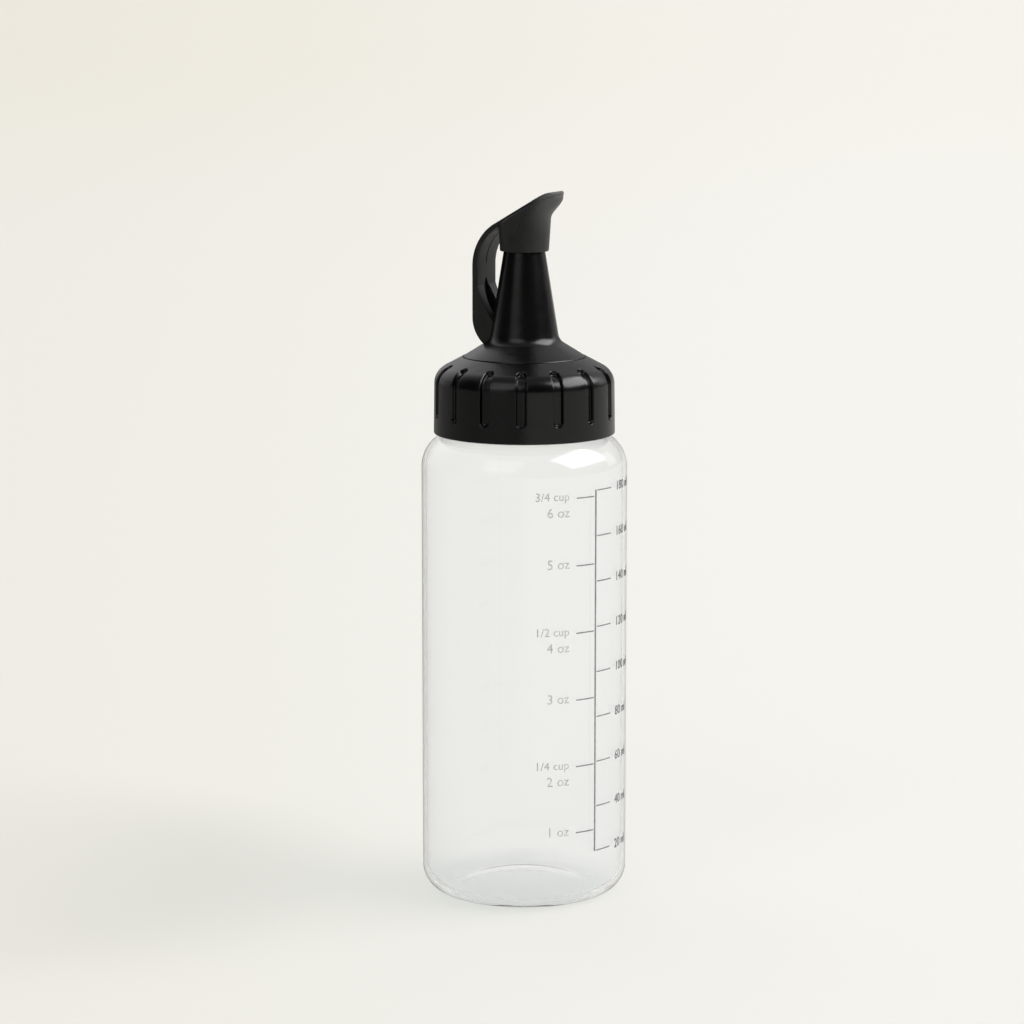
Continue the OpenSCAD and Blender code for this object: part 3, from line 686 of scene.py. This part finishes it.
def tip_cap(finish):
    """The cap's body: stopper and cavity inside, then the outside up to its sloping top.

    Rows run from the stopper's middle down the cavity, round the lower edge, up the outside along
    cap_plan, round the upper rim, and in along the sloping top to its middle line.
    """
    angle = full_turn(CAP_COLUMNS)[None]
    cavity = rounded(
        [(0, CAVITY_Z - STOPPER_H, 0), (STOPPER_R, CAVITY_Z - STOPPER_H, 0.15),
         (STOPPER_R + STOPPER_H, CAVITY_Z, 0.1), (CAVITY_TOP_R, CAVITY_Z, 0.3),
         (CAVITY_TOP_R, CAP_Z + CAVITY_HIGH, 0), (CAVITY_R, CAP_Z + CAVITY_LOW, 0),
         (CAVITY_R, CAP_Z, 0.15), (CAP_R - 0.3, CAP_Z, 0)]
    )
    inner = turned(cavity[:, :1], cavity[:, 1:], angle)

    # The rim is the height at which the outside meets the sloping top: 30 rounds of averaging settle it
    rim = 9 + 0 * angle
    for _ in range(30):
        rim = 0.5 * rim + 0.5 * (cap_top(cap_plan(rim, angle)[0], TONGUE_LIFT) - CAP_Z)
    edge, lip = CAP_EDGE, CAP_LIP
    low = np.radians(np.linspace(0, 90, 5))[:, None]
    height = np.concatenate([edge * (1 - np.cos(low)) + 0 * angle,
                             edge + (rim - lip - edge) * np.linspace(0, 1, 40)[1:, None]])
    inset = np.concatenate([edge * (1 - np.sin(low)), np.zeros((39, 1))])
    x, y = cap_plan(height, angle)
    outer = np.stack([x - inset * np.cos(angle), y - inset * np.sin(angle), CAP_Z + height], -1)
    high = np.radians(np.linspace(0, 90, 6))[1:, None]
    x, y = cap_plan(rim - lip * (1 - np.sin(high)), angle)
    x, y = x - lip * (1 - np.cos(high)) * np.cos(angle), y - lip * (1 - np.cos(high)) * np.sin(angle)
    shoulder = np.stack([x, y, cap_top(x, TONGUE_LIFT) - lip * (1 - np.sin(high))], -1)
    share = np.linspace(1, 0, 7)[1:, None]
    top_x = x[-1:] + 0 * share
    top = np.stack([top_x, y[-1:] * share, cap_top(top_x, TONGUE_LIFT)], -1)
    grid = np.concatenate([inner, outer, shoulder, top])
    return piece("tip_cap_body", "cap_body", finish, (grid, False, True),
                 node="tip_cap", slot="soft_black_rubber")


def tongue(finish):
    """The tongue over the cap: a flat plate with a round end and rounded edges, bent to its path.

    The plate is worked out flat, with rings of points from its middle line out over the edge and
    back underneath, and then carried along the bend, the slope and the crown.
    """
    slope_end = 90 + math.degrees(CAP_SLOPE)
    first = arc((BEND_X, BEND_Z), BEND_R, BEND_END, slope_end, 16)
    last = arc((CROWN_X, CROWN_Z), CROWN_R, slope_end, 60, 60)
    path = refine(np.concatenate([first, last]), even(0.2))
    length = np.concatenate([[0], np.cumsum(np.linalg.norm(np.diff(path, axis=0), axis=1))])
    along = np.gradient(path, axis=0)
    along /= np.linalg.norm(along, axis=1)[:, None]
    normal = np.stack([-along[:, 1], along[:, 0]], 1)
    half = STRAP_HALF_W
    start = np.interp(TONGUE_REACH - half, path[:, 0], length)
    sweep = np.radians(np.linspace(90, -90, 49))
    end_u = np.interp(TONGUE_REACH - half + half * np.cos(sweep), path[:, 0], length)
    side = np.linspace(0, start, 36)[:-1]
    rim_u = np.concatenate([side, end_u, side[::-1]])
    rim_v = np.concatenate([0 * side + half, half * np.sin(sweep), 0 * side - half])
    du, dv = np.gradient(rim_u), np.gradient(rim_v)
    scale = np.hypot(du, dv)
    out_u, out_v = -dv / scale, du / scale
    out_u[: len(side)], out_u[-len(side) :] = 0, 0
    out_v[: len(side)], out_v[-len(side) :] = 1, -1
    edge = STRAP_EDGE
    high_edge = edge + (TIP_EDGE - edge) * smooth((rim_u - start) / half)
    thick = STRAP_T + (TONGUE_T - STRAP_T) * smooth(rim_u / THINNING_L)
    turn = np.radians(np.linspace(0, 90, 6))[:, None]
    share = np.linspace(0, 1, 7)[:-1, None]
    inset = np.concatenate([high_edge + 0 * share, high_edge * (1 - np.sin(turn)),
                            edge * (1 - np.cos(turn)) + 0 * thick, edge + 0 * share + 0 * thick])
    spread = np.concatenate([share, 1 + 0 * turn, 1 + 0 * turn, share[::-1]])
    down = np.concatenate([0 * share + 0 * thick, high_edge * (1 - np.cos(turn)),
                           thick - edge * (1 - np.sin(turn)), thick + 0 * share])
    u = rim_u[None] - inset * out_u[None]
    v = (rim_v[None] - inset * out_v[None]) * spread
    x = np.interp(u, length, path[:, 0]) - down * np.interp(u, length, normal[:, 0])
    z = np.interp(u, length, path[:, 1]) - down * np.interp(u, length, normal[:, 1])
    grid = np.stack([x, v, z], -1)
    return piece("tip_cap_tongue", "cap_body", finish, (grid, False, False), slot="soft_black_rubber")


def lettering(name, lines, finish):
    """Plain built-in lettering wrapped on the body: distance along the wall becomes an angle."""
    work = bmesh.new()
    for words, size, along, z, align in lines:
        curve = bpy.data.curves.new(name, "FONT")
        curve.body = words
        curve.size = size
        curve.align_x = align
        curve.align_y = "CENTER"
        curve.extrude = INK_T / 2
        curve.resolution_u = 3
        text = bpy.data.objects.new(name, curve)
        flat = bpy.data.meshes.new_from_object(text)
        spots = np.empty(len(flat.vertices) * 3, np.float32)
        flat.vertices.foreach_get("co", spots)
        x, y, out = spots.reshape(-1, 3).T
        angle = SCALE_TURN + (x + along) / BODY_R
        radius = BODY_R + out + INK_T / 2 + INK_GAP
        spots = turned(radius, y + z, angle).astype(np.float32) * MM
        flat.vertices.foreach_set("co", spots.ravel())
        work.from_mesh(flat)
        bpy.data.objects.remove(text)
        bpy.data.meshes.remove(flat)
        bpy.data.curves.remove(curve)
    mesh = bpy.data.meshes.new(name)
    work.to_mesh(mesh)
    work.free()
    return dressed(name, "bottle_body", finish, mesh, sharp=30)


# Materials
def srgb(code):
    """A hex colour as linear red, green, blue and alpha."""
    part = np.array([int(code[i : i + 2], 16) for i in (1, 3, 5)]) / 255
    linear = np.where(part <= 0.04045, part / 12.92, ((part + 0.055) / 1.055) ** 2.4)
    return (*linear.tolist(), 1.0)


def add(tree, kind, inputs=None, **settings):
    """Adds a node, sets its settings, and fills its inputs with values or links."""
    node = tree.nodes.new("ShaderNode" + kind)
    for key, value in settings.items():
        setattr(node, key, value)
    for key, value in (inputs or {}).items():
        if isinstance(value, bpy.types.NodeSocket):
            tree.links.new(value, node.inputs[key])
        else:
            node.inputs[key].default_value = value
    return node


def material(name):
    """A new material's node tree and its output node."""
    made = bpy.data.materials.new(name)
    made.use_nodes = True
    tree = made.node_tree
    tree.nodes.clear()
    return made, tree, add(tree, "OutputMaterial")


def per(size):
    """Noise scale for features of that size in millimetres."""
    return 1 / (size * MM)


def clear_bottle_plastic():
    """Blow-moulded clear bottle plastic: colourless and glossy, its wall slightly wavy.

    The wall is thin, so light goes through it nearly straight (a low IOR), and the coat over it
    gives the reflections of the plastic's own 1.5. Shadow and diffuse rays pass straight through
    with a slight loss. The thick base is faintly blue.
    """
    made, tree, out = material("clear_bottle_plastic")
    place = add(tree, "TexCoord").outputs["Object"]
    wave = add(tree, "TexNoise", {"Vector": place, "Scale": per(14), "Detail": 1})
    bump = add(tree, "Bump", {"Height": wave.outputs["Fac"], "Strength": 0.12, "Distance": 0.05 * MM})
    height = add(tree, "SeparateXYZ", {0: place}).outputs[2]
    thick = add(tree, "MapRange", {"Value": height, "From Min": 2 * FLOOR_T * MM, "From Max": 1 * MM},
                interpolation_type="SMOOTHSTEP")
    colour = add(tree, "Mix", {"Factor": thick.outputs[0], "A": srgb("#FDFEFF"), "B": srgb("#F7F8FB")},
                 data_type="RGBA")
    shell = add(tree, "BsdfPrincipled", {
        "Base Color": colour.outputs["Result"], "Roughness": 0.03, "IOR": 1.04, "Transmission Weight": 1,
        "Coat Weight": 1, "Coat Roughness": 0.03, "Coat IOR": 1.5,
        "Normal": bump.outputs["Normal"], "Coat Normal": bump.outputs["Normal"]})
    path = add(tree, "LightPath")
    through = add(tree, "Math", {0: path.outputs["Is Shadow Ray"], 1: path.outputs["Is Diffuse Ray"]},
                  operation="MAXIMUM")
    veil = add(tree, "BsdfTransparent", {"Color": srgb("#F9FAFA")})
    mixed = add(tree, "MixShader", {0: through.outputs[0], 1: shell.outputs[0], 2: veil.outputs[0]})
    tree.links.new(mixed.outputs[0], out.inputs["Surface"])
    return made


def moulded_polypropylene():
    """Black polypropylene from a finely finished mould: deep black, with soft satin reflections.

    Its surface is faintly wavy, as thick mouldings are, and the grain is drawn 0.3 mm coarse.
    """
    made, tree, out = material("moulded_polypropylene")
    place = add(tree, "TexCoord").outputs["Object"]
    grain = add(tree, "TexNoise", {"Vector": place, "Scale": per(0.3), "Detail": 2})
    flow = add(tree, "TexNoise", {"Vector": place, "Scale": per(9), "Detail": 2})
    rough = add(tree, "MapRange", {"Value": flow.outputs["Fac"], "From Min": 0.3, "From Max": 0.7,
                                   "To Min": 0.20, "To Max": 0.27})
    tint = add(tree, "MapRange", {"Value": flow.outputs["Fac"], "From Min": 0.3, "From Max": 0.7})
    colour = add(tree, "Mix", {"Factor": tint.outputs[0], "A": srgb("#030303"), "B": srgb("#060606")},
                 data_type="RGBA")
    wave = add(tree, "TexNoise", {"Vector": place, "Scale": per(2.6), "Detail": 1})
    wavy = add(tree, "Bump", {"Height": wave.outputs["Fac"], "Strength": 0.5, "Distance": 0.1 * MM})
    bump = add(tree, "Bump", {"Height": grain.outputs["Fac"], "Strength": 0.12, "Distance": 0.03 * MM,
                              "Normal": wavy.outputs["Normal"]})
    shell = add(tree, "BsdfPrincipled", {
        "Base Color": colour.outputs["Result"], "Roughness": rough.outputs[0], "IOR": 1.49,
        "Normal": bump.outputs["Normal"]})
    tree.links.new(shell.outputs[0], out.inputs["Surface"])
    return made


def soft_rubber():
    """Soft black rubber of the tip cap and strap: matt, dark grey, with a faint dusty bloom.

    The beak carries a painted highlight: it is painted paler towards its end and top, where light falls on
    its face.
    """
    made, tree, out = material("soft_rubber")
    place = add(tree, "TexCoord").outputs["Object"]
    grain = add(tree, "TexNoise", {"Vector": place, "Scale": per(0.35), "Detail": 3})
    bloom = add(tree, "TexNoise", {"Vector": place, "Scale": per(4), "Detail": 3})
    dust = add(tree, "MapRange", {"Value": bloom.outputs["Fac"], "From Min": 0.35, "From Max": 0.75})
    colour = add(tree, "Mix", {"Factor": dust.outputs[0], "A": srgb("#1B1B1B"), "B": srgb("#262626")},
                 data_type="RGBA")
    axes = add(tree, "SeparateXYZ", {0: place})
    high = add(tree, "MapRange", {
        "Value": axes.outputs[2], "From Min": PAINTED_LIGHT_LOW_Z * MM, "From Max": PAINTED_LIGHT_HIGH_Z * MM, "To Min": 0.25})
    # painted highlight: the beak's colour is mixed towards #505050 towards its end and top
    painted_beak_light = add(tree, "MapRange", {
        "Value": axes.outputs[0], "From Min": PAINTED_LIGHT_NEAR_X * MM, "From Max": PAINTED_LIGHT_FAR_X * MM,
        "To Max": high.outputs[0]}, interpolation_type="SMOOTHSTEP")
    colour = add(tree, "Mix", {"Factor": painted_beak_light.outputs[0], "A": colour.outputs["Result"],
                               "B": srgb("#505050")}, data_type="RGBA")
    rough = add(tree, "MapRange", {"Value": bloom.outputs["Fac"], "From Min": 0.3, "From Max": 0.7,
                                   "To Min": 0.42, "To Max": 0.5})
    bump = add(tree, "Bump", {"Height": grain.outputs["Fac"], "Strength": 0.2, "Distance": 0.04 * MM})
    shell = add(tree, "BsdfPrincipled", {
        "Base Color": colour.outputs["Result"], "Roughness": rough.outputs[0], "IOR": 1.51,
        "Specular IOR Level": 0.35, "Sheen Weight": 0.08, "Sheen Roughness": 0.4,
        "Normal": bump.outputs["Normal"]})
    tree.links.new(shell.outputs[0], out.inputs["Surface"])
    return made


def printed_ink(name, light, dark):
    """Screen-printed grey ink, a little thin and uneven: it mixes light and dark in fine specks."""
    made, tree, out = material(name)
    place = add(tree, "TexCoord").outputs["Object"]
    specks = add(tree, "TexNoise", {"Vector": place, "Scale": per(0.5), "Detail": 3})
    share = add(tree, "MapRange", {"Value": specks.outputs["Fac"], "From Min": 0.4, "From Max": 0.65})
    colour = add(tree, "Mix", {"Factor": share.outputs[0], "A": srgb(dark), "B": srgb(light)},
                 data_type="RGBA")
    shell = add(tree, "BsdfPrincipled", {
        "Base Color": colour.outputs["Result"], "Roughness": 0.5, "IOR": 1.5})
    tree.links.new(shell.outputs[0], out.inputs["Surface"])
    return made


def silicone():
    """Pale translucent silicone of the neck seal: soft, slightly milky."""
    made, tree, out = material("silicone")
    place = add(tree, "TexCoord").outputs["Object"]
    cloud = add(tree, "TexNoise", {"Vector": place, "Scale": per(3), "Detail": 2})
    colour = add(tree, "Mix", {
        "Factor": cloud.outputs["Fac"], "A": srgb("#B9B9B4"), "B": srgb("#C9C9C4")}, data_type="RGBA")
    shell = add(tree, "BsdfPrincipled", {
        "Base Color": colour.outputs["Result"], "Roughness": 0.45, "IOR": 1.41})
    tree.links.new(shell.outputs[0], out.inputs["Surface"])
    return made


# Studio
def ramp(tree, value, start, end, low=0, high=1):
    """A value carried smoothly from low at start to high at end."""
    made = add(tree, "MapRange", {"Value": value, "From Min": start, "From Max": end, "To Min": low,
                                  "To Max": high}, interpolation_type="SMOOTHSTEP")
    return made.outputs[0]


def seamless_paper():
    """Matt warm paper with painted shade: darker on the left and far away, where less light falls, and
    dark in glossy reflections.

    Its place, in metres, is turned to face the photograph's camera. Left and right are told apart
    by x / (y + CAMERA_AWAY), so that the change runs evenly from side to side at any distance.
    """
    made, tree, out = material("seamless_paper")
    place = add(tree, "TexCoord").outputs["Object"]
    facing = add(tree, "Mapping", {"Vector": place, "Rotation": (0, 0, -CAMERA_TURN)})
    parts = add(tree, "SeparateXYZ", {0: facing.outputs[0]}).outputs
    away = add(tree, "Math", {0: parts[1], 1: CAMERA_AWAY}, operation="ADD").outputs[0]
    away = add(tree, "Math", {0: away, 1: 0.2}, operation="MAXIMUM").outputs[0]
    across = add(tree, "Math", {0: parts[0], 1: away}, operation="DIVIDE").outputs[0]
    # painted shade: share darkens the paper towards the left, and depth darkens it far away
    share = ramp(tree, across, -0.17, 0.13)
    near = add(tree, "Mix", {"Factor": share, "A": srgb("#EBE9E2"), "B": srgb("#F2F1EC")},
               data_type="RGBA")
    far = add(tree, "Mix", {"Factor": share, "A": srgb("#E9E5DA"), "B": srgb("#F2EFE8")},
              data_type="RGBA")
    depth = ramp(tree, away, 1.2, 6)
    colour = add(tree, "Mix", {"Factor": depth, "A": near.outputs["Result"],
                               "B": far.outputs["Result"]}, data_type="RGBA")
    path = add(tree, "LightPath").outputs
    direct = add(tree, "Math", {0: 1, 1: path["Is Transmission Ray"]}, operation="SUBTRACT")
    mirrored = add(tree, "Math", {0: path["Is Glossy Ray"], 1: direct.outputs[0]}, operation="MULTIPLY")
    dim = add(tree, "Mix", {"Factor": share, "A": srgb("#858482"), "B": srgb("#C6C5C2")},
              data_type="RGBA")
    deep = add(tree, "Mix", {"Factor": mirrored.outputs[0], "A": colour.outputs["Result"],
                             "B": dim.outputs["Result"]}, data_type="RGBA")
    paper = add(tree, "BsdfDiffuse", {"Color": deep.outputs["Result"]})
    tree.links.new(paper.outputs[0], out.inputs["Surface"])
    return made


def floor():
    """A flat sheet under the object, far wider than any view."""
    reach, z = 40.0, -0.05 * MM
    mesh = bpy.data.meshes.new("paper_floor")
    mesh.from_pydata([(-reach, -reach, z), (reach, -reach, z), (reach, reach, z), (-reach, reach, z)],
                     [], [(0, 1, 2, 3)])
    mesh.materials.append(seamless_paper())
    obj = bpy.data.objects.new("paper_floor", mesh)
    bpy.context.scene.collection.objects.link(obj)


def softbox(tree, direction, turn, rise, half_w, half_h, soft):
    """How much of a softbox lies in a direction: 1 inside its rectangle, fading over soft."""
    turn, rise = math.radians(turn), math.radians(rise)
    middle = (math.sin(turn) * math.cos(rise), math.cos(turn) * math.cos(rise), math.sin(rise))
    right = (math.cos(turn), -math.sin(turn), 0)
    up = (-math.sin(turn) * math.sin(rise), -math.cos(turn) * math.sin(rise), math.cos(rise))
    ahead = add(tree, "VectorMath", {0: direction, 1: middle}, operation="DOT_PRODUCT").outputs["Value"]
    front = add(tree, "Math", {0: ahead, 1: 0.05}, operation="MAXIMUM").outputs[0]
    share = None
    for side, half in ((right, half_w), (up, half_h)):
        off = add(tree, "VectorMath", {0: direction, 1: side}, operation="DOT_PRODUCT").outputs["Value"]
        off = add(tree, "Math", {0: off, 1: front}, operation="DIVIDE").outputs[0]
        off = add(tree, "Math", {0: off}, operation="ABSOLUTE").outputs[0]
        part = ramp(tree, off, half - soft, half + soft, 1, 0)
        share = part if share is None else add(
            tree, "Math", {0: share, 1: part}, operation="MULTIPLY").outputs[0]
    return share


def studio():
    """The room as a world: dim in front, pale behind and above, with four softboxes.

    Camera and transmission rays see the paper's own pale colour instead.
    """
    world = bpy.data.worlds.new("studio")
    bpy.context.scene.world = world
    world.use_nodes = True
    tree = world.node_tree
    tree.nodes.clear()
    place = add(tree, "TexCoord").outputs["Generated"]
    direction = add(tree, "Mapping", {"Vector": place, "Rotation": (0, 0, -CAMERA_TURN)}).outputs[0]
    parts = add(tree, "SeparateXYZ", {0: direction})
    side = ramp(tree, parts.outputs[0], -0.4, 0.4, 0.9, 0.5)
    low = ramp(tree, parts.outputs[2], 0.1, 0.5, 0.5, 1)
    side = add(tree, "Math", {0: side, 1: low}, operation="MULTIPLY").outputs[0]
    behind = ramp(tree, parts.outputs[1], 0, 0.75)
    behind = add(tree, "Math", {0: behind, 1: side}, operation="MULTIPLY").outputs[0]
    above = ramp(tree, parts.outputs[2], 0.6, 0.9, 0.03, 0.25)
    level = add(tree, "Math", {0: behind, 1: above}, operation="ADD").outputs[0]
    for *box, strength in SOFTBOXES:
        share = softbox(tree, direction, *box)
        glow = add(tree, "Math", {0: share, 1: strength}, operation="MULTIPLY").outputs[0]
        level = add(tree, "Math", {0: level, 1: glow}, operation="ADD").outputs[0]
    light = add(tree, "Background", {"Color": srgb("#FFFFFF"), "Strength": level})
    seen = add(tree, "Background", {"Color": srgb("#EFEDE7"), "Strength": 1})
    path = add(tree, "LightPath")
    plain_view = add(tree, "Math", {
        0: path.outputs["Is Camera Ray"], 1: path.outputs["Is Transmission Ray"]}, operation="MAXIMUM")
    mixed = add(tree, "MixShader", {0: plain_view.outputs[0], 1: light.outputs[0], 2: seen.outputs[0]})
    out = add(tree, "OutputWorld")
    tree.links.new(mixed.outputs[0], out.inputs["Surface"])


def camera():
    """The photograph's camera, turned so that the bottle's axis falls on AXIS_COLUMN."""
    data = bpy.data.cameras.new("photo_camera")
    data.sensor_width = 36
    data.lens = FOCAL_PX / PHOTO_SIDE * data.sensor_width
    obj = bpy.data.objects.new("photo_camera", data)
    bpy.context.scene.collection.objects.link(obj)
    heading = CAMERA_TURN + math.atan((AXIS_COLUMN - PHOTO_SIDE / 2) / FOCAL_PX / math.cos(CAMERA_PITCH))
    obj.location = (CAMERA_AWAY * math.sin(CAMERA_TURN), -CAMERA_AWAY * math.cos(CAMERA_TURN), CAMERA_Z)
    level = math.cos(CAMERA_PITCH)
    look = Vector((-math.sin(heading) * level, math.cos(heading) * level, -math.sin(CAMERA_PITCH)))
    obj.rotation_euler = look.to_track_quat("-Z", "Y").to_euler()
    bpy.context.scene.camera = obj


# Scene
def finish_node(node, finish):
    """Gives a CAD node that stays in view its real finish."""
    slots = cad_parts[node].data.materials
    slots.clear()
    slots.append(finish)


plastic = clear_bottle_plastic()
polypropylene = moulded_polypropylene()
rubber = soft_rubber()
grey_ink = printed_ink("grey_ink", "#969694", "#757573")
pale_ink = printed_ink("pale_ink", "#D6D6D2", "#BEBEBA")
dark_ink = printed_ink("dark_ink", "#6E6E6C", "#4A4A49")

bottle_shell(plastic)
screw_collar(polypropylene)
nozzle(polypropylene)
strap_key(polypropylene)
strap_foot(rubber)
strap(rubber)
tip_cap(rubber)
tongue(rubber)
finish_node("neck_seal", silicone())
finish_node("scale_marks", grey_ink)

ounce_lines = []
for i in range(1, OUNCES + 1):
    level_z = FILL_Z + i * OUNCE_H + OUNCE_UP
    if i % 2 == 0:
        cups = "1/2 cup" if i == 4 else f"{i // 2}/4 cup"
        ounce_lines.append((cups, CUP_SIZE, OUNCE_X, level_z, "RIGHT"))
        level_z -= CUP_DROP
    ounce_lines.append((f"{i} oz", OUNCE_SIZE, OUNCE_X, level_z, "RIGHT"))
lettering("ounce_print", ounce_lines, pale_ink)
ml_lines = [(f"{i * ML_STEP} ml", ML_SIZE, ML_X, FILL_Z + i * ML_H, "LEFT")
            for i in range(1, ML_STEPS + 1)]
lettering("millilitre_print", ml_lines, dark_ink)

floor()
studio()
camera()
bpy.context.scene.view_settings.view_transform = "Standard"
